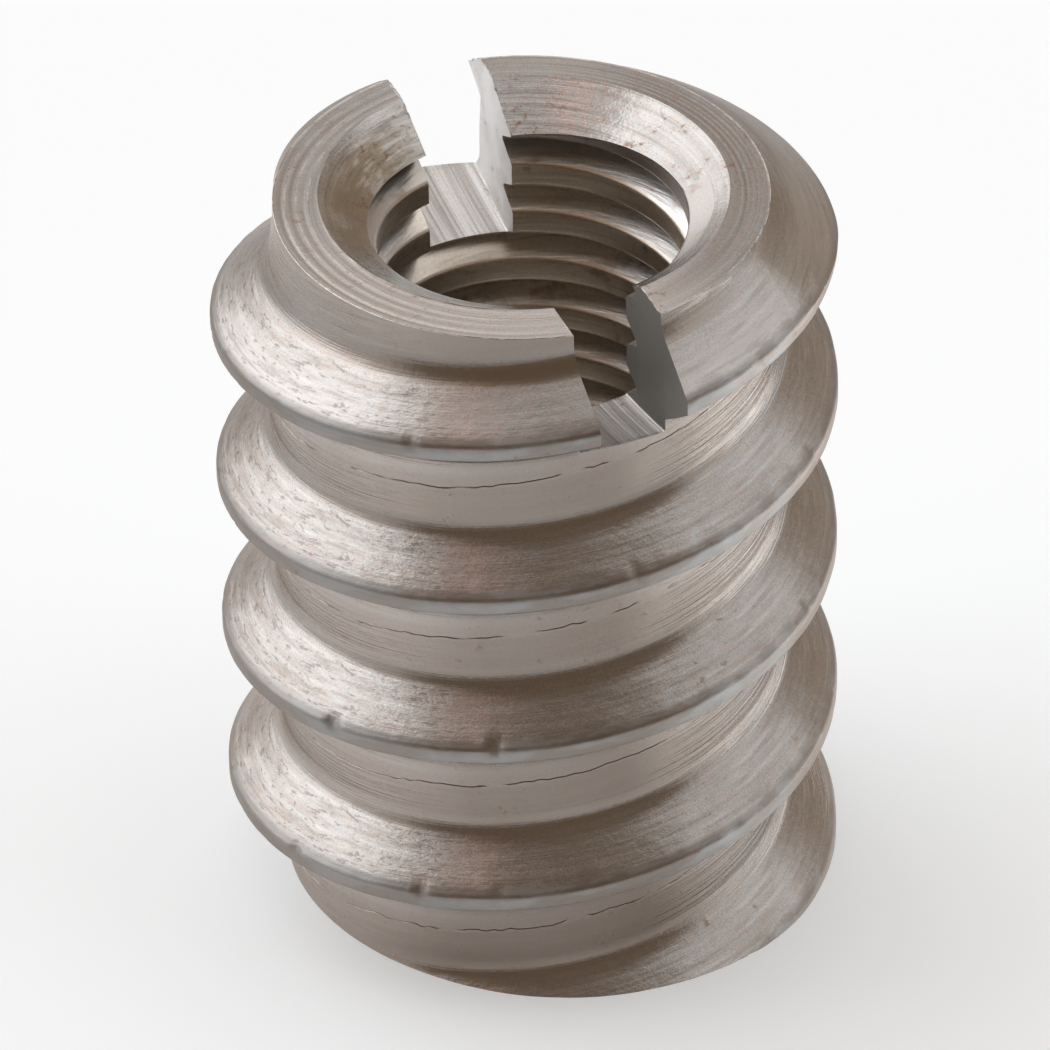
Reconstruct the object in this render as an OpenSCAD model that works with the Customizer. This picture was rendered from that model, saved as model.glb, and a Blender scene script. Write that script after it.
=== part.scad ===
// Screw-in threaded insert for wood, turned from one piece of steel.
// A coarse wood thread runs the whole length outside, a bore for a machine screw
// runs through, and a slot across the upper end takes a wide screwdriver.
// Z is the bore's axis and Z = 0 is the plain lower end, so the insert stands as drawn.
// The slot runs along Y. All sizes are in millimetres.

/* [Body] */
// Overall length
length = 17.15; // [14:0.05:24]
// Diameter of the core under the wood thread
core_d = 11; // [10.6:0.1:11.8]
// Diameter of the flat upper face, where the lead-in chamfer starts
face_d = 10.6; // [9.8:0.1:10.8]
// Depth of the lead-in chamfer, measured down to the thread's full diameter
chamfer_h = 1.05; // [0.6:0.05:2]

/* [Wood thread] */
// Diameter over the crests
thread_d = 13.5; // [12.6:0.1:14]
// Rise of the thread in one turn
thread_pitch = 4; // [3.8:0.1:5]
// Width of the flat along the crest, before its edges are blunted
crest_w = 0.33; // [0.24:0.01:0.5]
// Slope of each flank, measured from the horizontal
flank_angle = 37.5; // [30:0.5:40]
// Radius where a flank runs into the core
root_r = 0.3; // [0.2:0.05:1]
// Radius that blunts each edge of the crest
crest_r = 0.16; // [0.05:0.01:0.2]
// Azimuth at which the topmost crest lies crest_drop below the upper face
crest_az = -111; // [-180:0.5:180]
// Depth of that crest below the upper face
crest_drop = 1.9; // [1:0.05:4]

/* [Bore] */
// Diameter of the bore, which is the minor diameter of an M8 thread
bore_d = 6.65; // [6.6:0.05:7]
// Diameter of the upper countersink at the face
sink_d = 8.8; // [8:0.05:9.4]
// Diameter of the lower countersink at the face
lower_sink_d = 8.2; // [7.6:0.1:9]
// Included angle of both countersinks
sink_angle = 120; // [90:5:130]

/* [Driving slot] */
// Width of the slot
slot_w = 2.05; // [1.6:0.05:2.4]
// Depth of the slot at the lowest point of its floor
slot_depth = 3.65; // [2.5:0.05:4.5]
// Diameter of the disc cutter that plunged the slot and left its floor hollow
cutter_d = 50; // [40:1:80]
// Distance along the slot from the bore's axis to the floor's lowest point
plunge_y = 0.55; // [-1:0.05:1]

/* [Hidden] */
$fn = 96;

steel = [0.62, 0.60, 0.58];
over = 1;                                // how far a cutting solid passes the body
core_r = core_d / 2;
thread_r = thread_d / 2;
bore_r = bore_d / 2;
sink_slope = tan(90 - sink_angle / 2);   // depth of a countersink for each unit of radius

// The ridge of the wood thread is drawn by its section, as points of
// [distance along the axis from the crest's middle, radius].
steps = 48;                              // helix steps in one turn
fillet_steps = 3;                        // straight stretches along one root fillet
root_dip = 0.03;                         // depth of a fillet's end below the core's surface
gap = 0.05;                              // least half gap between one turn and the next
root_bottom = core_r - root_dip;
fillet_sweep = 90 - flank_angle;         // turn along a root fillet, or along a crest edge
tangent = tan(fillet_sweep / 2);
root_at = crest_w / 2 + (thread_r - root_bottom) * tan(flank_angle);
root_fit_r = min(root_r, (thread_pitch / 2 - gap - root_at) / tangent);
fillet_end = root_at + root_fit_r * tangent;
edge_cut = min(crest_r * tangent, crest_w / 2 - 0.02);
flank_dir = [sin(flank_angle), -cos(flank_angle)];

// Point on the root fillet, i steps down from where it leaves the flank
function fillet_point(i) =
    let (lean = fillet_sweep * (1 - i / fillet_steps))
    [fillet_end - root_fit_r * sin(lean), root_bottom + root_fit_r * (1 - cos(lean))];

upper_half = [
    [crest_w / 2 - edge_cut, thread_r],
    [crest_w / 2, thread_r] + edge_cut * flank_dir,
    each [for (i = [0 : fillet_steps]) fillet_point(i)]
];
section = [
    each upper_half,
    each [for (i = [len(upper_half) - 1 : -1 : 0]) [-upper_half[i][0], upper_half[i][1]]]
];

// The helix starts below the body and ends above it, so that both ends are trimmed.
clearance = fillet_end + 0.3;
end_az = crest_az + 360 * (crest_drop + clearance) / thread_pitch;
start_az = crest_az - 360 * (length - crest_drop + clearance) / thread_pitch;
first_step = floor(start_az * steps / 360);
last_step = ceil(end_az * steps / 360);

// Height of the crest's middle at azimuth a, counted on through every turn
function crest_z(a) = length - crest_drop + thread_pitch * (a - crest_az) / 360;

// Round bar under the thread
module core() {
    cylinder(h = length, r = core_r);
}

// Coarse right-hand thread, one ridge swept up a helix
module wood_thread() {
    points = [
        for (i = [first_step : last_step])
            let (a = i * 360 / steps, z = crest_z(a))
            for (p = section) [p[1] * cos(a), p[1] * sin(a), z + p[0]]
    ];
    n = len(section);
    rings = last_step - first_step;
    sides = [
        for (i = [0 : rings - 1], j = [0 : n - 1])
            let (a = i * n + j, b = i * n + (j + 1) % n)
            each [[a, b, b + n], [a, b + n, a + n]]
    ];
    lower_end = [for (j = [n - 1 : -1 : 0]) j];
    upper_end = [for (j = [0 : n - 1]) rings * n + j];
    polyhedron(points = points, faces = [each sides, lower_end, upper_end], convexity = 12);
}

// Outline left by facing both ends and chamfering the upper one
module turned_outline() {
    chamfer_rise = chamfer_h / (thread_r - face_d / 2);
    outer_r = thread_r + over;
    outer_z = length - (outer_r - face_d / 2) * chamfer_rise;
    rotate_extrude()
        polygon([[0, 0], [outer_r, 0], [outer_r, outer_z], [face_d / 2, length], [0, length]]);
}

// Through bore
module bore() {
    translate([0, 0, -over]) cylinder(h = length + 2 * over, r = bore_r);
}

// Cone that is d wide at Z = 0 and opens upwards
module sink(d) {
    wide_r = d / 2 + over / sink_slope;
    tip = wide_r * sink_slope;
    translate([0, 0, over - tip]) cylinder(h = tip, r1 = 0, r2 = wide_r);
}

// Slot across the upper end, plunged with a disc cutter
module driving_slot() {
    translate([0, plunge_y, length - slot_depth + cutter_d / 2])
        rotate([0, 90, 0]) cylinder(h = slot_w, d = cutter_d, center = true, $fn = 240);
}

module insert() {
    color(steel)
        difference() {
            intersection() {
                union() {
                    core();
                    wood_thread();
                }
                turned_outline();
            }
            bore();
            translate([0, 0, length]) sink(sink_d);
            rotate([180, 0, 0]) sink(lower_sink_d);
            driving_slot();
        }
}

insert();
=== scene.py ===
import math

import bmesh
import bpy
import numpy as np
from mathutils import Matrix, Vector


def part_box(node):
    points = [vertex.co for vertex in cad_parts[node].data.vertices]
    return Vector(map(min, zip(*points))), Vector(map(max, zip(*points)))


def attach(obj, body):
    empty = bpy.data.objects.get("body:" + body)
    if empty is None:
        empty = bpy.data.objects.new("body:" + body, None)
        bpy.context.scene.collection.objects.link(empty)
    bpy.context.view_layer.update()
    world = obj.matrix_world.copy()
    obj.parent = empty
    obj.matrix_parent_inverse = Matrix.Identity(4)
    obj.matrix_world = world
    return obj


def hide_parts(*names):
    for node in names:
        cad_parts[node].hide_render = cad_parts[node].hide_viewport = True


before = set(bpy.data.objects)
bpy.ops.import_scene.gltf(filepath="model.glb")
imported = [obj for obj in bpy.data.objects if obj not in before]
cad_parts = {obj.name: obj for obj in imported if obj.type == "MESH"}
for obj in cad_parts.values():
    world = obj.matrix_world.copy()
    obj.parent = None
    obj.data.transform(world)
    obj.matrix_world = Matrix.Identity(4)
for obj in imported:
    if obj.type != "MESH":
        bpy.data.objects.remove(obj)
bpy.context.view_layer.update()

MM = 0.001

# Sizes are in millimetres and angles in radians. The first group is the solid model's.
LENGTH = 17.15
THREAD_R, CORE_R, PITCH = 6.75, 5.5, 4.0
CREST_W, CREST_R, FLANK = 0.33, 0.16, math.radians(37.5)
CREST_AZ, CREST_DROP = math.radians(-111), 1.9
FACE_R, CHAMFER_H = 5.3, 1.05
BORE_R, SINK_R, LOWER_SINK_R, SINK_SLOPE = 3.325, 4.4, 4.1, math.tan(math.radians(30))
SLOT_DEPTH, CUTTER_R, PLUNGE_Y = 3.65, 25.0, 0.55

# These are the render model's own.
ROOT_R = 0.7                            # fillet above each ridge, wider than the solid's
# The ridge's under side is left sharper than its top, and lies slightly flatter.
LOWER_FLANK, LOWER_CREST_R, LOWER_ROOT_R = math.radians(36.2), 0.04, 0.02
BORE_MAJOR, BORE_PITCH = 3.88, 1.25     # the machine thread's outer radius and its pitch
BORE_AT = (0.21, -0.08)                 # the bore was drilled slightly off centre
SINK_AT = (0.11, 0.15)                  # and so was its upper countersink
# The faced end lies a little under the full length, which its burrs nearly reach.
TOP = LENGTH - 0.03
CHAMFER_SLOPE = CHAMFER_H / (THREAD_R - FACE_R)
# The lap seam: height from the crest's middle, how far and where it swings, and where it runs out.
SEAM_V, SEAM_SWING, SEAM_TURN = -1.70, 0.22, math.radians(121.5)
SEAM_TOP = 14.2
OVER = 1.0                              # how far a cutting solid passes the body
CENTRE_R = 2.0                          # radius that lies within the bore
RIDGE_STEPS, OUTLINE_STEPS, BORE_STEPS, SINK_STEPS = 384, 256, 120, 240     # mesh steps in one turn

VIEW_AZ = math.radians(-111.5)          # azimuth from which the camera looks
RIGHT_AZ = VIEW_AZ + math.pi / 2        # azimuth of the camera's right

THREAD, FACE, SINK, BORE, SLOT = range(5)   # material of each kind of surface
materials = [bpy.data.materials.new("steel_" + n) for n in ("thread", "face", "sink", "bore", "slot")]


# ---------------------------------------------------------------- helpers
def smooth_noise(seed):
    """A smooth random curve in -1..1, with one cell for each unit of x."""
    cells = 512
    knots = np.random.default_rng(seed).uniform(-1, 1, cells)

    def value(x):
        x = np.asarray(x, float)
        i = np.floor(x).astype(int)
        f = x - i
        f = f * f * (3 - 2 * f)
        return knots[i % cells] * (1 - f) + knots[(i + 1) % cells] * f

    return value


def smooth_noise_2d(seed):
    """The same over a plane."""
    rows, cols = 4096, 64
    knots = np.random.default_rng(seed).uniform(-1, 1, (rows, cols))

    def value(x, y):
        i, j = np.floor(x).astype(int), np.floor(y).astype(int)
        f, g = x - i, y - j
        f, g = f * f * (3 - 2 * f), g * g * (3 - 2 * g)
        a, b = i % rows, (i + 1) % rows
        c, d = j % cols, (j + 1) % cols
        low = knots[a, c] * (1 - f) + knots[b, c] * f
        return low * (1 - g) + (knots[a, d] * (1 - f) + knots[b, d] * f) * g

    return value


def bump(x):
    """1 at 0, falling smoothly to 0 at -1 and 1."""
    return np.where(np.abs(x) < 1, np.cos(np.clip(x, -1, 1) * math.pi / 2) ** 2, 0.0)


def step(x, low, high):
    """0 up to low, rising smoothly to 1 at high."""
    f = np.clip((x - low) / (high - low), 0, 1)
    return f * f * (3 - 2 * f)


def mesh_object(name, verts, faces, kind):
    """An object with all the materials, whose faces are all of one kind."""
    mesh = bpy.data.meshes.new(name)
    mesh.from_pydata(verts.tolist(), [], faces)
    for material in materials:
        mesh.materials.append(material)
    mesh.polygons.foreach_set("material_index", [kind] * len(mesh.polygons))
    obj = bpy.data.objects.new(name, mesh)
    bpy.context.scene.collection.objects.link(obj)
    return obj


def helical_solid(name, profile, pitch, columns, z_at, z_low, z_high, kind, deform=None):
    """A closed solid whose side is a helical surface, with columns steps in one turn. profile is
    [(v, r)] over one pitch, where v is the height above z_at(turn)."""
    prof = np.array(profile, float)
    k = len(prof)
    first = math.floor((z_low - z_at(0)) / pitch - 0.8)
    last = math.ceil((z_high - z_at(0)) / pitch + 0.8)
    count = (last - first) * columns + 1
    turn = first + np.arange(count) / columns
    T = np.repeat(turn, k)
    v = np.tile(prof[:, 0], count)
    r = np.tile(prof[:, 1], count)
    if deform is not None:
        v, r = deform(T, v, r)
    z = z_at(T) + v
    ang = T * 2 * math.pi
    verts = np.stack([r * np.cos(ang), r * np.sin(ang), z], 1)
    faces = []
    for i in range(count - 1):
        a, b = i * k, (i + 1) * k
        for j in range(k - 1):
            faces.append((a + j, b + j, b + j + 1, a + j + 1))
        up = i + columns
        if up + 1 < count:
            c, d = up * k, (up + 1) * k
            faces.append((a + k - 1, b + k - 1, d, c))
    # Each end is closed by a fan from a loop that runs one turn and then along one section.
    low = [i * k for i in range(columns + 1)] + [j for j in range(k - 1, 0, -1)]
    top = [i * k + k - 1 for i in range(count - 1 - columns, count)]
    top += [(count - 1) * k + j for j in range(k - 2, -1, -1)]
    n = len(verts)
    verts = np.vstack([verts, [0, 0, z.min() - 1], [0, 0, z.max() + 1]])
    faces += [(low[i], n, low[(i + 1) % len(low)]) for i in range(len(low))]
    faces += [(top[i], top[(i + 1) % len(top)], n + 1) for i in range(len(top))]
    return mesh_object(name, verts, faces, kind)


def lathe_solid(name, outline, columns, kind, wobble=None, at=(0, 0)):
    """A closed solid of revolution about an upright axis through at. outline is [(r, z)], from the
    axis below to the axis above."""
    pts = np.array(outline[1:-1], float)
    k = len(pts)
    A = np.repeat(np.arange(columns) * 2 * math.pi / columns, k)
    r = np.tile(pts[:, 0], columns)
    z = np.tile(pts[:, 1], columns)
    if wobble is not None:
        r, z = wobble(A, r, z)
    verts = np.stack([at[0] + r * np.cos(A), at[1] + r * np.sin(A), z], 1)
    n = len(verts)
    verts = np.vstack([verts, [at[0], at[1], outline[0][1]], [at[0], at[1], outline[-1][1]]])
    faces = []
    for i in range(columns):
        a, b = i * k, (i + 1) % columns * k
        faces += [(a + j, b + j, b + j + 1, a + j + 1) for j in range(k - 1)]
        faces.append((a, n, b))
        faces.append((a + k - 1, b + k - 1, n + 1))
    return mesh_object(name, verts, faces, kind)


def tube_solid(name, path, radii, kind, sides=6):
    """A closed tube along path, with a radius for each of its points."""
    path = np.array(path, float)
    along = np.gradient(path, axis=0)
    along /= np.linalg.norm(along, axis=1)[:, None]
    across = np.cross(along, [0, 0, 1.0])
    across /= np.linalg.norm(across, axis=1)[:, None]
    upward = np.cross(across, along)
    ang = np.arange(sides) * 2 * math.pi / sides
    ring = across[:, None] * np.cos(ang)[:, None] + upward[:, None] * np.sin(ang)[:, None]
    verts = (path[:, None] + ring * np.asarray(radii)[:, None, None]).reshape(-1, 3)
    faces = []
    for i in range(len(path) - 1):
        a, b = i * sides, (i + 1) * sides
        faces += [(a + j, b + j, b + (j + 1) % sides, a + (j + 1) % sides) for j in range(sides)]
    faces.append(tuple(range(sides)))
    faces.append(tuple((len(path) - 1) * sides + j for j in range(sides))[::-1])
    return mesh_object(name, verts, faces, kind)


def cut(obj, other, operation):
    """obj with other joined, removed or kept, as plain geometry. other is removed."""
    mod = obj.modifiers.new("cut", "BOOLEAN")
    mod.object = other
    mod.operation = operation
    mod.solver = "MANIFOLD"
    bpy.context.view_layer.update()
    made = obj.evaluated_get(bpy.context.evaluated_depsgraph_get())
    mesh = bpy.data.meshes.new_from_object(made)
    obj.modifiers.clear()
    old, obj.data = obj.data, mesh
    bpy.data.meshes.remove(old)
    bpy.data.objects.remove(other)
    return obj


# ---------------------------------------------------------------- outside thread
def half_ridge(slope, crest_r, root_r, flank_points, root_points):
    """One side of the ridge, from the crest's middle down to the core."""
    sweep = math.pi / 2 - slope
    tan_half = math.tan(sweep / 2)
    end = CREST_W / 2 + (THREAD_R - CORE_R) * math.tan(slope) + root_r * tan_half
    cut_len = crest_r * tan_half
    half = [(0.0, THREAD_R), (CREST_W / 2 - cut_len, THREAD_R)]
    centre_v, centre_r = half[1][0], THREAD_R - crest_r
    for f in (0.33, 0.67, 1.0):
        a = sweep * f
        half.append((centre_v + crest_r * math.sin(a), centre_r + crest_r * math.cos(a)))
    top = half[-1]
    root = [(end - root_r * math.sin(sweep * f), CORE_R + root_r * (1 - math.cos(sweep * f)))
            for f in np.linspace(1, 0, root_points)]
    for f in np.linspace(0, 1, flank_points + 2)[1:-1]:
        half.append((top[0] + (root[0][0] - top[0]) * f, top[1] + (root[0][1] - top[1]) * f))
    return half + root


def ridge_profile():
    """[(v, r)] over one pitch, v measured along the axis from the crest's middle."""
    half = half_ridge(FLANK, CREST_R, ROOT_R, 6, 6)
    lower = [(-v, r) for v, r in reversed(half_ridge(LOWER_FLANK, LOWER_CREST_R, LOWER_ROOT_R, 2, 2)[1:])]
    # The band between two ridges, with extra points for the lap seam along it.
    seam = [SEAM_V + d for d in (-0.16, -0.05, -0.018, 0.0, 0.018, 0.05, 0.16)]
    band = [(v, CORE_R) for v in [-2.48, -2.34, -2.2, -2.02] + seam + [-1.42]]
    return band + lower + half


def crest_z(turn):
    """Height of the crest's middle."""
    return LENGTH - CREST_DROP + PITCH * (turn - CREST_AZ / (2 * math.pi))


def turn_at(az, crest):
    """The turn count at az degrees from the camera's right, where crest 1 is the topmost."""
    return (math.radians(az) + RIGHT_AZ) / (2 * math.pi) - (crest - 1)


slow, mid, fine, nick = smooth_noise(11), smooth_noise(12), smooth_noise(13), smooth_noise(19)
lift, seam_path, seam_depth, seam_fine = (smooth_noise(seed) for seed in (14, 15, 16, 20))
torn, uneven = smooth_noise_2d(17), smooth_noise_2d(18)

# Chips in the crest's edges: azimuth in degrees from the camera's right, crest from the top,
# upper (1) or lower (-1) edge, half width and depth.
CHIPS = [(-130, 3, 1, 0.30, 0.12), (-97, 3, 1, 0.22, 0.10), (-50, 3, 1, 0.50, 0.025),
         (-50, 4, 1, 0.40, 0.03), (-112, 4, 1, 0.18, 0.07), (-141, 4, 1, 0.25, 0.09),
         (-70, 2, 1, 0.16, 0.05), (-25, 3, 1, 0.2, 0.07)]
SMALL_CHIPS = 46
EDGE_V, EDGE_HALF = 0.17, 0.24          # a chip's middle above the crest's, and half its height
more = np.random.default_rng(5)
for _ in range(SMALL_CHIPS):
    CHIPS.append((more.uniform(-180, 180), more.integers(1, 6), more.choice([-1, 1]),
                  more.uniform(0.08, 0.2), more.uniform(0.015, 0.05)))

NECK_IN = 0.19                          # how far the core narrows just below the upper face
DIP, DIP_AZ = 0.2, 78                   # how far the ridge dips behind the slot, and where, in degrees


def weather(T, v, r):
    """The ridge's wear and faults: T is the turn count, v and r are as in ridge_profile."""
    around = 2 * math.pi * THREAD_R          # crest length of one turn
    crest = np.clip((r - CORE_R) / (THREAD_R - CORE_R), 0, 1)     # 0 on the core, 1 on the crest
    # The crest wanders a little, and its edges are chipped.
    r = r - crest ** 3 * (0.024 + 0.012 * slow(T * 9) + 0.007 * mid(T * 37) + 0.004 * nick(T * 150))
    v = v + crest ** 2 * (0.016 * lift(T * 8) + 0.008 * fine(T * 41) + 0.006 * nick(T * 131 + 9))
    for az, turn, side, half, depth in CHIPS:
        near = bump((T - turn_at(az, turn)) * around / half)
        r = r - depth * near * bump((v * side - EDGE_V) / EDGE_HALF)
    # The flanks are rough where the metal tore instead of cutting, mostly on the camera's left.
    flank = bump((crest - 0.5) / 0.55)
    az = T * 2 * math.pi - RIGHT_AZ
    left = 0.12 + 0.88 * bump((np.mod(az + 2.6 + math.pi, 2 * math.pi) - math.pi) / 0.8)
    v = v + flank * left * 0.010 * torn(T * 80, v * 6) + flank * 0.004 * uneven(T * 50, v * 11)
    # The seam where metal was folded over runs round each band between two ridges.
    swing = SEAM_SWING * np.sin(T * 2 * math.pi + SEAM_TURN)
    swing = swing + 0.035 * seam_path(T * 50) + 0.03 * seam_fine(T * 190)
    groove = (np.abs(v - SEAM_V) < 0.01) & (r < CORE_R + 0.001) & (crest_z(T) + v < SEAM_TOP)
    r = np.where(groove, r - 0.013 * np.clip(0.95 + 1.1 * seam_depth(T * 60), 0.15, 1), r)
    v = v + swing * bump((v - SEAM_V) / 0.44)
    # The core narrows a little towards the upper end.
    r = r - NECK_IN * (1 - crest) * step(crest_z(T) + v, 15.0, 16.95)
    # Near the upper end, the thread dips behind the slot.
    dip = bump((T - (DIP_AZ / 360)) / 0.2) + bump((T - (DIP_AZ / 360) + 1) / 0.2)
    return v - DIP * dip, r


body = helical_solid("insert_body", ridge_profile(), PITCH, RIDGE_STEPS, crest_z, 0, LENGTH, THREAD, weather)

ring_mod, ring_slow = smooth_noise(21), smooth_noise(22)
RINGS_COARSE, RINGS_FINE = math.radians(165), math.radians(-12)     # middles of two groups of rings
RING_GAP, FINE_GAP = 0.25, 0.125                                    # and the width of a ring in each
RINGS = np.linspace(FACE_R - 0.02, SINK_R - 0.25, 40)               # radii that the mesh follows


def faced(A, r, z):
    """Turning marks on the faced end: coarse rings on one side and fine rings on the other."""
    on_top = (z > TOP - 0.001) & (r < FACE_R - 0.01)
    deep = np.clip(np.cos(A - RINGS_COARSE), 0, 1)
    shallow = np.clip(np.cos(A - RINGS_FINE), 0, 1) ** 2 * step(r, FACE_R - 0.75, FACE_R - 0.5)
    vary = 0.65 + 0.35 * ring_mod(r * 9)
    across = np.mod((FACE_R - r) / RING_GAP, 1) * 2 - 1      # -1..1 over each rounded groove
    wide = 0.014 * deep * vary * (1 - across ** 2)
    close = 0.004 * shallow * vary * (1 + np.cos((r - FACE_R) * 2 * math.pi / FINE_GAP))
    return r, z - on_top * (0.004 + wide + close + 0.002 * ring_slow(r * 30))


out_r = THREAD_R + 0.6
outline = [(0, 0), (CENTRE_R, 0), (out_r, 0), (out_r, TOP - (out_r - FACE_R) * CHAMFER_SLOPE)]
outline += [(FACE_R, TOP)] + [(r, TOP) for r in RINGS] + [(CENTRE_R, TOP), (0, TOP)]
body = cut(body, lathe_solid("turned_outline", outline, OUTLINE_STEPS, FACE, faced), "INTERSECT")


# ---------------------------------------------------------------- bore
def bore_profile():
    """[(v, r)] of the internal thread over one pitch; v = 0 is the middle of the groove."""
    flat, half_angle = 0.044, math.radians(30)
    depth = BORE_MAJOR - BORE_R
    mouth = flat + depth * math.tan(half_angle)
    half = [(0.0, BORE_MAJOR), (flat, BORE_MAJOR)]
    half += [(flat + (mouth - flat) * f, BORE_MAJOR - depth * f) for f in (0.5, 0.86)]
    half += [(mouth - 0.022, BORE_R + 0.030), (mouth + 0.008, BORE_R + 0.010), (mouth + 0.055, BORE_R)]
    lower = [(-v, r) for v, r in reversed(half[1:])]
    return [(-BORE_PITCH / 2, BORE_R)] + lower + half


GROOVE_DROP, GROOVE_TURN = 1.25, 0.1486     # depth of a groove's middle, and the turn it is there


def groove_z(turn):
    """Height of the groove's middle."""
    return LENGTH - GROOVE_DROP + BORE_PITCH * (turn - GROOVE_TURN)


bore = helical_solid("bore_tool", bore_profile(), BORE_PITCH, BORE_STEPS, groove_z,
                     -OVER, LENGTH + OVER, BORE)
bore.data.transform(Matrix.Translation((*BORE_AT, 0)))
body = cut(body, bore, "DIFFERENCE")

# The countersinks are cones. way is the direction in which each opens.
for name, wide, face_z, way, at in (("upper_sink", SINK_R, TOP, 1, SINK_AT),
                                    ("lower_sink", LOWER_SINK_R, 0, -1, (0, 0))):
    widening = OVER / SINK_SLOPE            # gain in radius from the face to the cone's open end
    back = (0, face_z + way * widening * SINK_SLOPE)
    tip = (0, face_z - way * wide * SINK_SLOPE)
    rings = [(wide + widening, back[1])]
    rings += [(wide * f, face_z - way * wide * (1 - f) * SINK_SLOPE) for f in np.linspace(1, 0.7, 13)]
    rings.append((wide * 0.4, face_z - way * wide * 0.6 * SINK_SLOPE))
    path = [tip] + rings[::-1] + [back] if way > 0 else [back] + rings + [tip]
    body = cut(body, lathe_solid(name, path, SINK_STEPS, SINK, at=at), "DIFFERENCE")


# ---------------------------------------------------------------- slot
def wall_x(side, y):
    """Where a side wall of the slot stands. Both flare towards the back, one of them more."""
    if side < 0:
        return -0.95 - 0.05 * float(step(y, 3.2, 5.0))
    return 1.02 + 0.14 * float(step(y, 3.0, 5.6))


def slot_solid():
    """The slot, with a hollow floor and a small rounding along its corners."""
    small = 0.06
    verts, faces = [], []
    ys = np.linspace(-THREAD_R - 0.5, THREAD_R + 0.5, 121)
    for y in ys:
        a, b = wall_x(-1, y), wall_x(1, y)
        floor = LENGTH - SLOT_DEPTH + CUTTER_R - math.sqrt(CUTTER_R ** 2 - (y - PLUNGE_Y) ** 2)
        verts += [(a, y, LENGTH + OVER), (a, y, floor + small), (a + small * 0.3, y, floor + small * 0.3),
                  (a + small, y, floor), (b - small, y, floor), (b - small * 0.3, y, floor + small * 0.3),
                  (b, y, floor + small), (b, y, LENGTH + OVER)]
    k = 8
    for i in range(len(ys) - 1):
        a, b = i * k, (i + 1) * k
        faces += [(a + j, b + j, b + (j + 1) % k, a + (j + 1) % k) for j in range(k)]
    faces.append(tuple(range(k)))
    faces.append(tuple((len(ys) - 1) * k + j for j in range(k))[::-1])
    return mesh_object("slot_tool", np.array(verts), faces, SLOT)


body = cut(body, slot_solid(), "DIFFERENCE")


# ---------------------------------------------------------------- burrs
def top_z(x, y):
    """Height of the upper surface over a point outside the bore."""
    r = math.hypot(x, y)
    sink = math.hypot(x - SINK_AT[0], y - SINK_AT[1])
    return min(TOP - max(SINK_R - sink, 0) * SINK_SLOPE, TOP - max(r - FACE_R, 0) * CHAMFER_SLOPE)


def burr_radii(count, seed, least, most, cells):
    """The radii along a burr, which change over cells stretches and taper at both ends."""
    curve = smooth_noise(seed)
    x = np.linspace(0, cells, count)
    size = least + (most - least) * np.clip(0.5 + 0.9 * curve(x), 0, 1)
    return size * np.clip(np.minimum(np.arange(count), np.arange(count)[::-1]) / 3, 0.1, 1)


def along_wall(side, y_from, y_to, count, sink_by):
    """The path of a burr along a wall's upper edge, sink_by below the surface there."""
    ys = np.linspace(y_from, y_to, count)
    return [(wall_x(side, y) + side * 0.012, y, top_z(wall_x(side, y), y) - sink_by) for y in ys]


CIRCLE_POINTS = 120


def along_circle(at, radius, az_from, az_to, sink_by):
    """The path of a burr along a circle on the upper face, between two azimuths in degrees."""
    az = np.radians(np.linspace(az_from, az_to, CIRCLE_POINTS))
    z = np.full(CIRCLE_POINTS, TOP - sink_by)
    return np.stack([at[0] + radius * np.cos(az), at[1] + radius * np.sin(az), z], 1)


RIM_BURR_R = FACE_R - 0.026
# Each burr has a name, a path and the radii along it.
BURRS = [
    ("burr_right_front", along_wall(1, -3.8, -5.18, 40, 0.012), burr_radii(40, 41, 0.012, 0.03, 12)),
    ("burr_left_front", along_wall(-1, -4.6, -5.14, 20, 0.012), burr_radii(20, 42, 0.008, 0.018, 6)),
    ("burr_right_back", along_wall(1, 3.85, 5.8, 50, 0.01), burr_radii(50, 43, 0.01, 0.035, 18)),
    ("burr_left_back", along_wall(-1, 3.75, 5.15, 40, 0.01), burr_radii(40, 44, 0.01, 0.03, 14)),
]
gap_az = math.degrees(math.asin(1.0 / FACE_R)) + 0.6    # just over half the slot's opening at the rim
for name, az_from, az_to, seed in (("burr_rim_left", -167.4, -90 - gap_az, 58),
                                   ("burr_rim_right", -90 + gap_az, -20.6, 59)):
    path = along_circle((0, 0), RIM_BURR_R, az_from, az_to, 0.008)
    BURRS.append((name, path, burr_radii(CIRCLE_POINTS, seed, 0.006, 0.023, 52)))
path = along_circle(SINK_AT, SINK_R, 118, 250, 0.014)
BURRS.append(("burr_sink", path, burr_radii(CIRCLE_POINTS, 61, 0.012, 0.026, 30)))
for name, path, radii in BURRS:
    body = cut(body, tube_solid(name, path, radii, FACE), "UNION")

# ---------------------------------------------------------------- finished mesh
# The cuts leave a few slivers, which are closed up.
SLIVER = 0.0004
CHAMFER_NORMAL_Z = (0.3, 0.93)          # how far the chamfer's faces turn upwards
SHARP = math.radians(34)                # least angle of an edge that shows as sharp
mesh = body.data
bm = bmesh.new()
bm.from_mesh(mesh)
bmesh.ops.remove_doubles(bm, verts=bm.verts, dist=SLIVER)
bmesh.ops.dissolve_degenerate(bm, dist=SLIVER, edges=bm.edges)
bmesh.ops.remove_doubles(bm, verts=bm.verts, dist=SLIVER)
bmesh.ops.triangulate(bm, faces=[face for face in bm.faces if len(face.verts) > 3])
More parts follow.
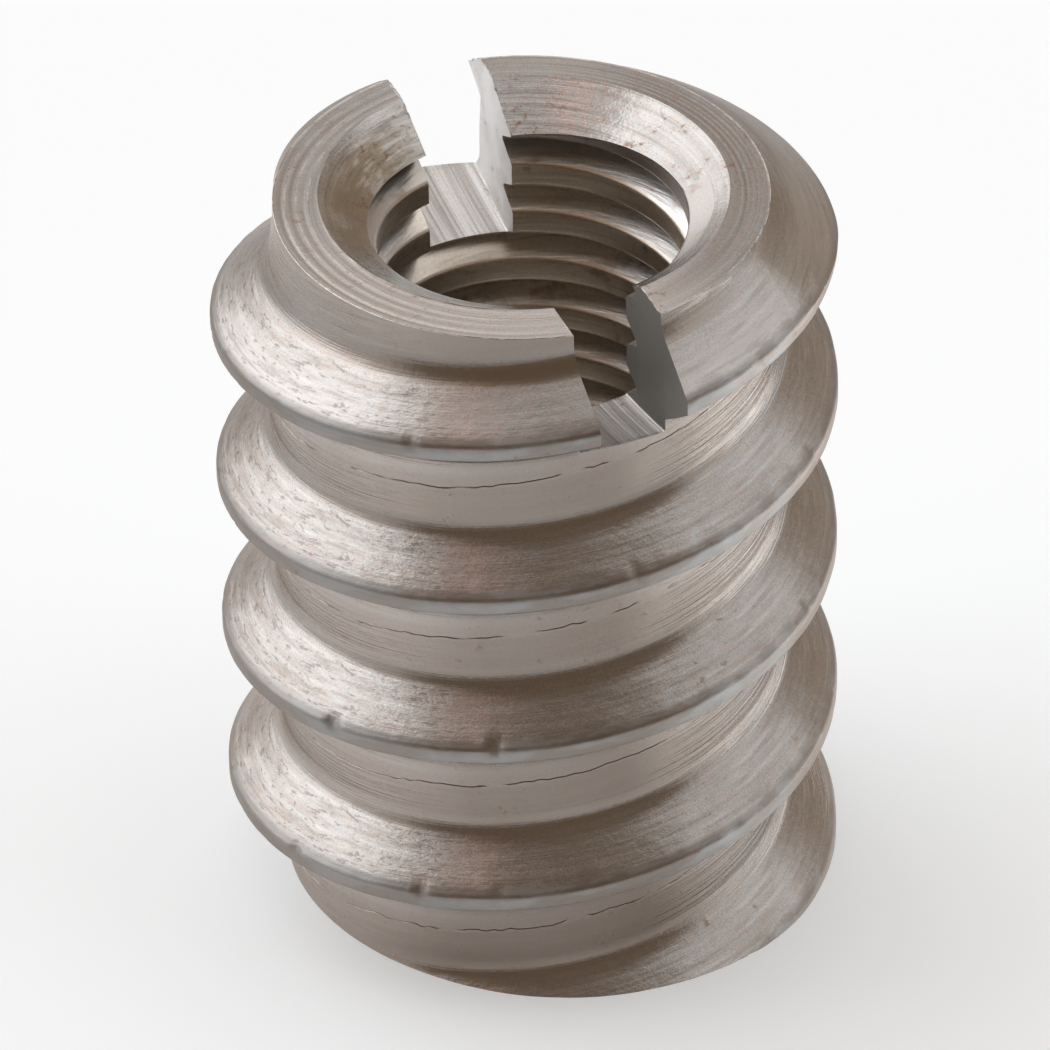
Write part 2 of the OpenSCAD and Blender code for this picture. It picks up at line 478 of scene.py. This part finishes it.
# Two faces on the same points are the two sides of a flat leftover.
corners = {}
for face in bm.faces:
    corners.setdefault(frozenset(face.verts), []).append(face)
flat = [face for faces in corners.values() if len(faces) > 1 for face in faces]
bmesh.ops.delete(bm, geom=flat, context="FACES")
bmesh.ops.delete(bm, geom=[e for e in bm.edges if not e.link_faces], context="EDGES")
bmesh.ops.delete(bm, geom=[v for v in bm.verts if not v.link_faces], context="VERTS")
bm.to_mesh(mesh)
bm.free()
co = np.empty(len(mesh.vertices) * 3)
mesh.vertices.foreach_get("co", co)
mesh.vertices.foreach_set("co", co * MM)
mesh.polygons.foreach_set("use_smooth", [True] * len(mesh.polygons))
# The lead-in chamfer looks like the thread that it cuts.
for poly in mesh.polygons:
    outside = poly.center.xy.length > (FACE_R + 0.02) * MM
    if poly.material_index == FACE and outside and CHAMFER_NORMAL_Z[0] < poly.normal.z < CHAMFER_NORMAL_Z[1]:
        poly.material_index = THREAD
# An edge is sharp where its faces meet at an angle, or are of two kinds.
mesh.set_sharp_from_angle(angle=SHARP)
kinds = {}
for poly in mesh.polygons:
    for key in poly.edge_keys:
        kinds.setdefault(key, set()).add(poly.material_index)
for edge in mesh.edges:
    if len(kinds.get(edge.key, ())) > 1:
        edge.use_edge_sharp = True
mesh.update()
body.name = "threaded_insert"

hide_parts("insert")
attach(body, "root")

# ---------------------------------------------------------------- materials
STEEL = (0.425, 0.405, 0.392)
BRIGHT, PALE, DARK = (0.62, 0.61, 0.60), (0.56, 0.55, 0.545), (0.20, 0.175, 0.155)
WARM, COOL, RUST = (0.47, 0.37, 0.31), (0.40, 0.43, 0.455), (0.25, 0.14, 0.09)
MIX_A, MIX_B, MIX_RESULT = 6, 7, 2      # the colour sockets of a Mix node


class Surface:
    """The node tree of one surface, with the position in millimetres and short calls."""

    def __init__(self, material):
        material.use_nodes = True
        self.nodes, self.links = material.node_tree.nodes, material.node_tree.links
        self.bsdf = self.nodes["Principled BSDF"]
        self.bsdf.inputs["Metallic"].default_value = 1.0
        place = self.new("ShaderNodeSeparateXYZ", self.nodes.new("ShaderNodeTexCoord").outputs["Object"])
        self.x, self.y, self.z = [self.math("MULTIPLY", out, 1 / MM) for out in place.outputs]
        y_squared = self.math("MULTIPLY", self.y, self.y)
        self.r = self.math("SQRT", self.math("MULTIPLY_ADD", self.x, self.x, y_squared))
        self.cos, self.sin = self.math("DIVIDE", self.x, self.r), self.math("DIVIDE", self.y, self.r)
        self.az = self.math("ARCTAN2", self.y, self.x)
        self.place = self.vec(self.x, self.y, self.z)

    def new(self, kind, *values, **settings):
        """A node of this kind, with these values or links on its inputs in turn."""
        node = self.nodes.new(kind)
        for name, value in settings.items():
            setattr(node, name, value)
        for socket, value in zip([s for s in node.inputs if s.enabled], values):
            self.put(socket, value)
        return node

    def put(self, socket, value):
        """Links value to the socket if it is another socket, and sets it there if not."""
        if isinstance(value, bpy.types.NodeSocket):
            self.links.new(value, socket)
        elif value is not None:
            socket.default_value = value

    def math(self, operation, *values):
        return self.new("ShaderNodeMath", *values, operation=operation).outputs[0]

    def vec(self, x, y, z):
        return self.new("ShaderNodeCombineXYZ", x, y, z).outputs[0]

    def noise(self, vector, scale=1.0, detail=2.0, rough=0.5):
        node = self.new("ShaderNodeTexNoise")
        self.put(node.inputs["Vector"], vector)
        node.inputs["Scale"].default_value = scale
        node.inputs["Detail"].default_value = detail
        node.inputs["Roughness"].default_value = rough
        return node.outputs[0]

    def ramp(self, value, low, high, start=0.0, end=1.0):
        """start where value is low, changing smoothly to end where it is high."""
        values = (value, low, high, start, end)
        return self.new("ShaderNodeMapRange", *values, interpolation_type="SMOOTHSTEP").outputs[0]

    def times(self, *values):
        total = values[0]
        for value in values[1:]:
            total = self.math("MULTIPLY", total, value)
        return total

    def plus(self, *values):
        total = values[0]
        for value in values[1:]:
            total = self.math("ADD", total, value)
        return total

    def mix(self, factor, a, b):
        """Colour a where factor is 0, and colour b where it is 1."""
        node = self.new("ShaderNodeMix", data_type="RGBA")
        self.put(node.inputs[0], factor)
        for index, color in ((MIX_A, a), (MIX_B, b)):
            self.put(node.inputs[index], color if isinstance(color, bpy.types.NodeSocket) else (*color, 1.0))
        return node.outputs[MIX_RESULT]

    def facing(self, az, narrow, wide):
        """1 where the point's azimuth is within narrow of az, and 0 past wide. All are in degrees, and
        az counts from RIGHT_AZ, which is fixed on the insert."""
        a = math.radians(az) + RIGHT_AZ
        near = self.plus(self.times(self.cos, math.cos(a)), self.times(self.sin, math.sin(a)))
        return self.ramp(near, math.cos(math.radians(wide)), math.cos(math.radians(narrow)))

    def around(self, cells, height, rows):
        """Coordinates for marks that run round the axis: cells in each radian, rows in each mm."""
        return self.vec(self.times(self.cos, cells), self.times(self.sin, cells), self.times(height, rows))

    def patina(self, color, amount=1.0):
        """The colour with a fine fleck and warm and cool patches."""
        fleck = self.noise(self.place, 26.0, 2, 0.6)
        tint = self.noise(self.place, 6.5, 3, 0.6)
        color = self.mix(self.ramp(fleck, 0.5, 0.72, 0, 0.42 * amount), color, DARK)
        color = self.mix(self.ramp(fleck, 0.5, 0.3, 0, 0.32 * amount), color, PALE)
        color = self.mix(self.ramp(tint, 0.5, 0.68, 0, 0.34 * amount), color, WARM)
        return self.mix(self.ramp(tint, 0.5, 0.34, 0, 0.3 * amount), color, COOL)

    def finish(self, color, roughness, height):
        """Puts the colour, the roughness and a bump of this height in millimetres on the shader."""
        self.put(self.bsdf.inputs["Base Color"], color)
        self.put(self.bsdf.inputs["Roughness"], roughness)
        node = self.new("ShaderNodeBump")
        node.inputs["Strength"].default_value = 1.0
        node.inputs["Distance"].default_value = MM
        self.put(node.inputs["Height"], height)
        self.put(self.bsdf.inputs["Normal"], node.outputs[0])


def thread_surface(s):
    """The outside: ridges, the bands between them, and the lead-in chamfer."""
    # v is the height from the crest's middle, counted upwards from the seam below it, and
    # from_seam is the height from the nearest seam.
    swing = s.times(s.math("SINE", s.plus(s.az, SEAM_TURN)), SEAM_SWING)
    seam_v = s.plus(swing, SEAM_V)
    risen = s.times(s.plus(s.z, -(LENGTH - CREST_DROP)), 1 / PITCH)
    turns = s.plus(risen, s.times(s.az, -0.5 / math.pi), CREST_AZ / (2 * math.pi))
    above = s.math("WRAP", s.plus(s.times(turns, PITCH), s.times(seam_v, -1)), 0.0, PITCH)
    v = s.plus(above, seam_v)
    from_seam = s.math("WRAP", above, -PITCH / 2, PITCH / 2)
    crest = s.ramp(s.r, THREAD_R - 0.25, THREAD_R - 0.09)
    flank = s.times(s.ramp(s.r, CORE_R + 0.06, CORE_R + 0.25), s.ramp(s.r, THREAD_R - 0.05, THREAD_R - 0.25))
    band = s.ramp(s.r, CORE_R + 0.18, CORE_R + 0.04)

    blotch = s.noise(s.place, 0.45, 3, 0.55)
    speck = s.noise(s.place, 3.6, 3, 0.6)
    grain = s.noise(s.place, 15.0, 3, 0.6)
    lines = s.noise(s.around(0.45, v, 8), 1.0, 4, 0.72)
    worn = s.noise(s.around(1.6, v, 1.3), 1.0, 2, 0.5)
    scratch = s.noise(s.around(5, v, 20), 1.0, 2, 0.5)
    color = s.mix(s.ramp(blotch, 0.35, 0.7), STEEL, (0.385, 0.355, 0.335))
    # The marks are strongest on the insert's left and right.
    coarse = s.plus(0.25, s.times(s.facing(-165, 25, 70), 0.75), s.times(s.facing(-15, 25, 50), 0.75))
    color = s.mix(s.times(s.ramp(lines, 0.5, 0.68), coarse, 0.42), color, PALE)
    color = s.mix(s.times(s.ramp(lines, 0.5, 0.32), coarse, 0.3), color, DARK)
    soft = s.noise(s.around(1.6, v, 4), 1.0, 4, 0.65)
    color = s.mix(s.ramp(soft, 0.5, 0.66, 0, 0.35), color, PALE)
    color = s.mix(s.ramp(soft, 0.5, 0.34, 0, 0.35), color, (0.27, 0.235, 0.21))
    color = s.patina(color)
    color = s.mix(s.times(band, s.facing(-95, 35, 65), 0.6), color, (0.375, 0.325, 0.29))
    patchy = s.ramp(s.noise(s.around(3.5, v, 2), 1.0, 3, 0.6), 0.4, 0.6)
    color = s.mix(s.times(crest, 0.75), color, s.mix(patchy, (0.37, 0.39, 0.405), (0.31, 0.28, 0.255)))
    color = s.mix(s.times(crest, s.facing(-150, 25, 55), 0.5), color, (0.22, 0.21, 0.20))
    # The neck above the first ridge is duller and browner than the rest.
    neck = s.times(s.ramp(s.r, CORE_R + 0.6, CORE_R + 0.25), s.ramp(from_seam, 0.3, 0.6),
                   s.ramp(s.z, LENGTH - 3.25, LENGTH - 2.55))
    color = s.mix(s.times(neck, s.facing(-105, 40, 80), 0.45), color, (0.36, 0.30, 0.26))
    # Painted highlight: the first ridge's flanks near the upper end are painted paler.
    first = s.times(s.ramp(s.z, LENGTH - 3.45, LENGTH - 2.65), s.ramp(v, 0.95, 0.3), flank)
    color = s.mix(s.times(first, 0.6), color, PALE)
    color = s.mix(s.times(band, s.ramp(from_seam, 0.1, 0.5), 0.2), color, PALE)
    below = s.times(band, s.ramp(from_seam, 0.02, -0.12), s.facing(-80, 25, 55), 0.35)
    color = s.mix(below, color, (0.27, 0.235, 0.20))

    # A brown stain lies along the top edge of the crest, and light rust here and there.
    edge = s.times(s.ramp(v, 0.06, 0.16), s.ramp(v, 0.5, 0.2))
    pitted = s.ramp(s.noise(s.around(9, v, 7), 1.0, 3, 0.65), 0.42, 0.58)
    stain = s.times(edge, s.facing(-67, 34, 66), pitted, 0.45)
    color = s.mix(stain, color, s.mix(s.times(s.ramp(speck, 0.5, 0.66), 0.6), DARK, RUST))
    rust = s.times(s.ramp(speck, 0.64, 0.74), s.ramp(blotch, 0.45, 0.62))
    color = s.mix(s.times(rust, s.ramp(grain, 0.35, 0.6), 0.5), color, RUST)

    # The lap seam's groove is dark.
    seam = s.times(s.ramp(s.r, CORE_R - 0.001, CORE_R - 0.009), s.ramp(s.z, SEAM_TOP, SEAM_TOP - 1),
                   s.plus(0.3, s.times(s.facing(-112, 30, 56), 0.7)))
    color = s.mix(s.times(seam, 0.6), color, (0.13, 0.10, 0.085))

    # On the left side of the insert the flanks are torn.
    left = s.times(s.facing(-150, 30, 58), flank)
    tear = s.noise(s.around(3.6, v, 11), 1.0, 5, 0.7)
    crumb = s.noise(s.around(15, v, 15), 1.0, 4, 0.7)
    sides = s.plus(0.1, s.times(s.facing(-150, 30, 58), 0.7), s.times(s.facing(-25, 20, 50), 0.5))
    streak = s.times(flank, sides)
    color = s.mix(s.times(s.ramp(tear, 0.51, 0.66), streak, 0.6), color, (0.60, 0.59, 0.58))
    color = s.mix(s.times(s.ramp(tear, 0.48, 0.36), streak, 0.5), color, (0.24, 0.20, 0.175))
    pit = s.times(s.ramp(crumb, 0.45, 0.38), s.plus(s.times(left, 0.85), s.times(flank, 0.06)))
    color = s.mix(s.times(pit, 0.6), color, (0.15, 0.125, 0.11))
    rough = s.plus(0.17, s.times(blotch, 0.10), s.times(left, 0.05), s.times(rust, 0.2),
                   s.times(grain, 0.06), s.times(crest, 0.14), s.times(neck, 0.14))
    height = s.plus(s.times(lines, coarse, s.plus(0.010, s.times(worn, 0.016))),
                    s.times(scratch, coarse, 0.005), s.times(speck, 0.006),
                    s.times(grain, s.plus(0.0015, s.times(left, 0.003))))
    height = s.plus(height, s.times(tear, streak, 0.014), s.times(crumb, left, 0.014))
    height = s.plus(height, s.times(lines, band, s.facing(-25, 20, 45), 0.016))
    # At a grazing angle the stained steel doesn't turn as white as clean metal.
    s.bsdf.inputs["Specular Tint"].default_value = (0.74, 0.68, 0.64, 1)
    s.finish(color, rough, height)


def face_surface(s):
    """The faced ends and the burrs."""
    blotch = s.noise(s.place, 0.8, 3, 0.6)
    lines = s.noise(s.around(0.5, s.r, 9), 1.0, 4, 0.7)
    speck = s.noise(s.place, 5.0, 3, 0.6)
    grain = s.noise(s.place, 15.0, 3, 0.6)
    near = s.plus(s.times(s.cos, math.cos(RINGS_COARSE)), s.times(s.sin, math.sin(RINGS_COARSE)))
    coarse = s.math("MAXIMUM", 0.0, near)
    # ring is 0 on the cusps between the turned rings, and 1 in the middle of each.
    ring = s.math("PINGPONG", s.times(s.plus(FACE_R, s.times(s.r, -1)), 2 / RING_GAP), 1.0)
    color = s.mix(s.ramp(blotch, 0.4, 0.65), (0.44, 0.42, 0.405), (0.39, 0.355, 0.33))
    # Painted light: the front of the faced end, towards the camera, is painted lighter.
    color = s.mix(s.times(s.facing(-105, 40, 80), 0.8), color, (0.58, 0.54, 0.51))
    color = s.mix(s.times(s.facing(10, 35, 70), 0.75), color, (0.30, 0.27, 0.25))
    color = s.patina(color)
    # Painted shade fills the middle of each coarse ring, and painted glints lie on the cusps between the
    # rings and along the outer edge.
    glint = s.ramp(s.noise(s.around(9, s.r, 5), 1.0, 3, 0.7), 0.44, 0.56)
    color = s.mix(s.times(s.ramp(ring, 0.4, 0.9), coarse, 0.35), color, DARK)
    color = s.mix(s.times(s.ramp(ring, 0.3, 0.05), coarse, glint, 0.8), color, BRIGHT)
    color = s.mix(s.times(s.ramp(s.r, FACE_R - 0.06, FACE_R - 0.02), glint, 0.6), color, BRIGHT)
    color = s.mix(s.times(s.ramp(lines, 0.5, 0.66), 0.3), color, PALE)
    color = s.mix(s.times(s.ramp(lines, 0.5, 0.34), 0.25), color, DARK)
    rust = s.times(s.ramp(speck, 0.56, 0.7), s.ramp(blotch, 0.45, 0.62))
    color = s.mix(s.times(rust, 0.65), color, RUST)
    rough = s.plus(0.22, s.times(blotch, 0.10), s.times(rust, 0.2))
    s.finish(color, rough, s.plus(s.times(lines, 0.007), s.times(speck, 0.004), s.times(grain, 0.002)))


def sink_surface(s):
    """Both countersinks."""
    blotch = s.noise(s.place, 0.9, 3, 0.6)
    lines = s.noise(s.around(0.8, s.r, 9), 1.0, 4, 0.7)
    speck = s.noise(s.place, 4.5, 3, 0.65)
    grain = s.noise(s.place, 15.0, 3, 0.6)
    color = s.mix(s.ramp(blotch, 0.4, 0.65), (0.415, 0.405, 0.395), (0.35, 0.33, 0.315))
    # Painted highlight: the countersink's far side is painted paler.
    color = s.mix(s.times(s.facing(95, 30, 65), 0.6), color, (0.57, 0.56, 0.55))
    color = s.patina(color)
    color = s.mix(s.times(s.ramp(lines, 0.5, 0.68), 0.5), color, PALE)
    color = s.mix(s.times(s.ramp(lines, 0.5, 0.32), 0.45), color, DARK)
    brown = s.times(s.facing(172, 18, 50), s.ramp(s.r, SINK_R - 0.1, SINK_R - 0.5), s.ramp(blotch, 0.25, 0.5))
    color = s.mix(s.times(brown, 0.8), color, (0.28, 0.225, 0.155))
    rust = s.times(s.ramp(speck, 0.55, 0.66), s.ramp(blotch, 0.42, 0.6))
    color = s.mix(s.times(rust, 0.75), color, RUST)
    # Torn streaks lie beside the slot, on the left.
    dash = s.noise(s.around(5, s.r, 9), 1.0, 4, 0.6)
    torn_part = s.facing(144, 10, 27)
    color = s.mix(s.times(s.ramp(dash, 0.5, 0.64), torn_part, 0.6), color, BRIGHT)
    color = s.mix(s.times(s.ramp(dash, 0.48, 0.36), torn_part, 0.6), color, DARK)
    rough = s.plus(0.17, s.times(blotch, 0.10), s.times(rust, 0.2), s.times(brown, 0.14))
    height = s.plus(s.times(lines, 0.018), s.times(speck, 0.009), s.times(grain, 0.003),
                    s.times(dash, torn_part, 0.03))
    s.finish(color, rough, height)


def bore_surface(s):
    """The machine thread."""
    blotch = s.noise(s.place, 1.1, 3, 0.6)
    lines = s.noise(s.around(1.5, s.z, 9), 1.0, 4, 0.7)
    # depth is the distance from the bore's own axis.
    bx, by = s.plus(s.x, -BORE_AT[0]), s.plus(s.y, -BORE_AT[1])
    depth = s.math("SQRT", s.plus(s.times(bx, bx), s.times(by, by)))
    crest = s.ramp(depth, BORE_R + 0.075, BORE_R + 0.015)
    # Painted light: the bore's steel is painted far paler than the outside's, warm at the back and grey
    # elsewhere, and near the mouth it turns back to plain steel.
    color = s.mix(s.times(s.facing(98, 25, 58), 0.75), (0.81, 0.815, 0.82), (0.89, 0.78, 0.65))
    color = s.mix(s.times(crest, 0.8), color, (0.69, 0.59, 0.46))
    color = s.mix(s.ramp(lines, 0.52, 0.36, 0, 0.45), color, (0.44, 0.38, 0.32))
    color = s.mix(s.ramp(lines, 0.52, 0.68, 0, 0.4), color, (0.86, 0.87, 0.88))
    color = s.mix(s.ramp(s.z, LENGTH - 1.7, LENGTH - 1.0), color, STEEL)
    edge = s.times(s.ramp(depth, BORE_R, BORE_R + 0.011), s.ramp(depth, BORE_R + 0.095, BORE_R + 0.05))
    color = s.mix(s.times(edge, s.facing(98, 40, 70), 0.8), color, (0.27, 0.19, 0.13))
    color = s.mix(s.times(s.ramp(blotch, 0.58, 0.7), 0.5), color, RUST)
    rough = s.plus(0.24, s.times(blotch, 0.12), s.times(crest, 0.08))
    s.finish(s.patina(color, 0.6), rough, s.plus(s.times(lines, 0.012), s.times(blotch, 0.003)))


def slot_surface(s):
    """The slot's two walls and its milled floor. rho is the distance from the cutter's axis."""
    blotch = s.noise(s.place, 1.0, 3, 0.6)
    rise = s.plus(s.z, -(LENGTH - SLOT_DEPTH + CUTTER_R))
    along = s.plus(s.y, -PLUNGE_Y)
    rho = s.math("SQRT", s.plus(s.times(along, along), s.times(rise, rise)))
    lines = s.noise(s.vec(s.times(s.x, 9), s.times(s.y, 0.06), 0.5), 1.0, 4, 0.8)
    speck = s.noise(s.place, 5.0, 3, 0.6)
    grain = s.noise(s.place, 15.0, 3, 0.6)
    floor_part = s.ramp(rho, CUTTER_R - 0.05, CUTTER_R - 0.02)
    milled = s.patina(s.mix(s.ramp(lines, 0.36, 0.60), (0.33, 0.31, 0.295), (0.60, 0.595, 0.59)), 0.7)
    # Painted light and shade: the walls are painted very pale towards the back and dark towards their front
    # end.
    wall = s.mix(s.ramp(blotch, 0.4, 0.65), (0.84, 0.84, 0.845), (0.74, 0.735, 0.735))
    wall = s.mix(s.ramp(s.y, 1, -1), wall, (0.40, 0.40, 0.39))
    color = s.mix(floor_part, wall, milled)
    rust = s.times(s.ramp(speck, 0.6, 0.7), s.ramp(blotch, 0.5, 0.65))
    color = s.mix(s.times(rust, 0.7), color, RUST)
    rough = s.plus(0.55, s.times(blotch, 0.08), s.times(rust, 0.1), s.times(floor_part, -0.27))
    height = s.plus(s.times(lines, floor_part, 0.014), s.times(speck, 0.002), s.times(grain, 0.003))
    s.finish(color, rough, height)


paints = (thread_surface, face_surface, sink_surface, bore_surface, slot_surface)
for material, paint in zip(materials, paints):
    paint(Surface(material))

# ---------------------------------------------------------------- floor
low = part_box("insert")[0]
bpy.ops.mesh.primitive_plane_add(size=1.2, location=(0, 0, low.z))
floor = bpy.context.object
floor.name = "floor"

# The floor is near white to the camera, and keeps the insert's soft shadow. Only the metal sees its
# painted light: a glow that is brighter on the insert's right, with a bright patch further out, and darker in
# front.
FLOOR_COLOR, FLOOR_GLOW = (0.785, 0.84, 0.885), 0.285
GLOW_FRONT, GLOW_LEFT, GLOW_RIGHT = (0.10, 0.07, 0.05), (0.42, 0.39, 0.37), (0.80, 0.79, 0.77)
GLOW_PATCH = (1.7, 1.66, 1.62)
paper = bpy.data.materials.new("floor_white")
floor_nodes = Surface(paper)
matt = floor_nodes.new("ShaderNodeBsdfDiffuse", (*FLOOR_COLOR, 1))
mirrored = floor_nodes.mix(floor_nodes.facing(178, 20, 80), GLOW_FRONT, GLOW_LEFT)
mirrored = floor_nodes.mix(floor_nodes.facing(95, 30, 70), mirrored, GLOW_LEFT)
mirrored = floor_nodes.mix(floor_nodes.facing(4, 20, 62), mirrored, GLOW_RIGHT)
mirrored = floor_nodes.mix(floor_nodes.ramp(floor_nodes.r, 18, 55), mirrored, (0, 0, 0))
ring = floor_nodes.times(floor_nodes.ramp(floor_nodes.r, 22, 29), floor_nodes.ramp(floor_nodes.r, 120, 70))
mirrored = floor_nodes.mix(floor_nodes.times(ring, floor_nodes.facing(4, 16, 32)), mirrored, GLOW_PATCH)
rays = floor_nodes.new("ShaderNodeLightPath")
shown = floor_nodes.mix(rays.outputs["Is Glossy Ray"], (FLOOR_GLOW,) * 3, mirrored)
either = floor_nodes.math("MAXIMUM", rays.outputs["Is Camera Ray"], rays.outputs["Is Glossy Ray"])
glow = floor_nodes.new("ShaderNodeEmission", shown, either)
both = floor_nodes.new("ShaderNodeAddShader", matt.outputs[0], glow.outputs[0])
floor_nodes.links.new(both.outputs[0], floor_nodes.nodes["Material Output"].inputs["Surface"])
floor_nodes.nodes.remove(floor_nodes.bsdf)
floor.data.materials.append(paper)

# ---------------------------------------------------------------- light
# Soft light comes from all round, in patches laid over each other. Each is its azimuth from the
# camera's right, its elevation, the radii of its full and of its fading part, all in degrees, and
# its colour.
ROOM = (0.715, 0.665, 0.63)
LIGHTS = [
    (0, 45, 16, 46, (0.97, 0.94, 0.91)),            # pale wall on the right
    (55, 15, 18, 38, (0.50, 0.41, 0.33)),           # darker corner behind on the right
    (90, 58, 10, 22, (1.32, 1.27, 1.24)),           # ceiling lamp behind
    (-89, 15, 53.5, 60, (0.235, 0.172, 0.122)),     # dark side behind the camera
    (148, 28, 27, 40, (1.88, 1.84, 1.81)),          # large window behind on the left
    (167, 38, 18, 26, (2.05, 2.01, 1.98)),          # and its brightest part
    (-145, 59, 1.5, 3.5, (2.6, 1.15, 0.8)),         # a small warm lamp overhead
    (168, 77, 0.8, 1.9, (11.0, 4.0, 2.3)),          # and another
]
world = bpy.data.worlds.new("world")
bpy.context.scene.world = world
world.use_nodes = True
nodes, links = world.node_tree.nodes, world.node_tree.links
direction = nodes.new("ShaderNodeTexCoord").outputs["Generated"]
shade = None
for az, el, full, fade, color in LIGHTS:
    a, e = math.radians(az) + RIGHT_AZ, math.radians(el)
    near = nodes.new("ShaderNodeVectorMath")
    near.operation = "DOT_PRODUCT"
    links.new(direction, near.inputs[0])
    near.inputs[1].default_value = (math.cos(e) * math.cos(a), math.cos(e) * math.sin(a), math.sin(e))
    part = nodes.new("ShaderNodeMapRange")
    part.interpolation_type = "SMOOTHSTEP"
    part.inputs["From Min"].default_value = math.cos(math.radians(fade))
    part.inputs["From Max"].default_value = math.cos(math.radians(full))
    links.new(near.outputs["Value"], part.inputs["Value"])
    mix = nodes.new("ShaderNodeMix")
    mix.data_type = "RGBA"
    links.new(part.outputs[0], mix.inputs[0])
    if shade is None:
        mix.inputs[MIX_A].default_value = (*ROOM, 1)
    else:
        links.new(shade, mix.inputs[MIX_A])
    mix.inputs[MIX_B].default_value = (*color, 1)
    shade = mix.outputs[MIX_RESULT]
links.new(shade, nodes["Background"].inputs["Color"])

# ---------------------------------------------------------------- camera
SENSOR, FOCAL = 36, 344.089             # millimetres of the sensor's width and of the lens
CAMERA_AWAY, CAMERA_ABOVE = 175.423725, 121.546575      # from the axis, and above the upper face
LOOK_DOWN, ROLL, YAW = 0.63895, -0.020518, -0.0004      # YAW is off the direction of the axis

cam_data = bpy.data.cameras.new("camera")
cam = bpy.data.objects.new("camera", cam_data)
bpy.context.scene.collection.objects.link(cam)
cam_data.sensor_width = SENSOR
cam_data.lens = FOCAL
away = CAMERA_AWAY * MM
cam.location = (away * math.cos(VIEW_AZ), away * math.sin(VIEW_AZ), (LENGTH + CAMERA_ABOVE) * MM)
# The camera's axes as they are where it looks along +Y, then turned to where it stands.
level = math.cos(LOOK_DOWN)
ahead = Vector((math.sin(YAW) * level, math.cos(YAW) * level, -math.sin(LOOK_DOWN)))
right = Vector((math.cos(YAW), -math.sin(YAW), 0))
up = right.cross(ahead)
rolled_right = math.cos(ROLL) * right + math.sin(ROLL) * up
rolled_up = -math.sin(ROLL) * right + math.cos(ROLL) * up
turn = Matrix.Rotation(RIGHT_AZ, 3, "Z")
axes = [turn @ rolled_right, turn @ rolled_up, turn @ -ahead]
cam.rotation_euler = Matrix(axes).transposed().to_euler()
bpy.context.scene.camera = cam

bpy.context.scene.view_settings.view_transform = "Standard"
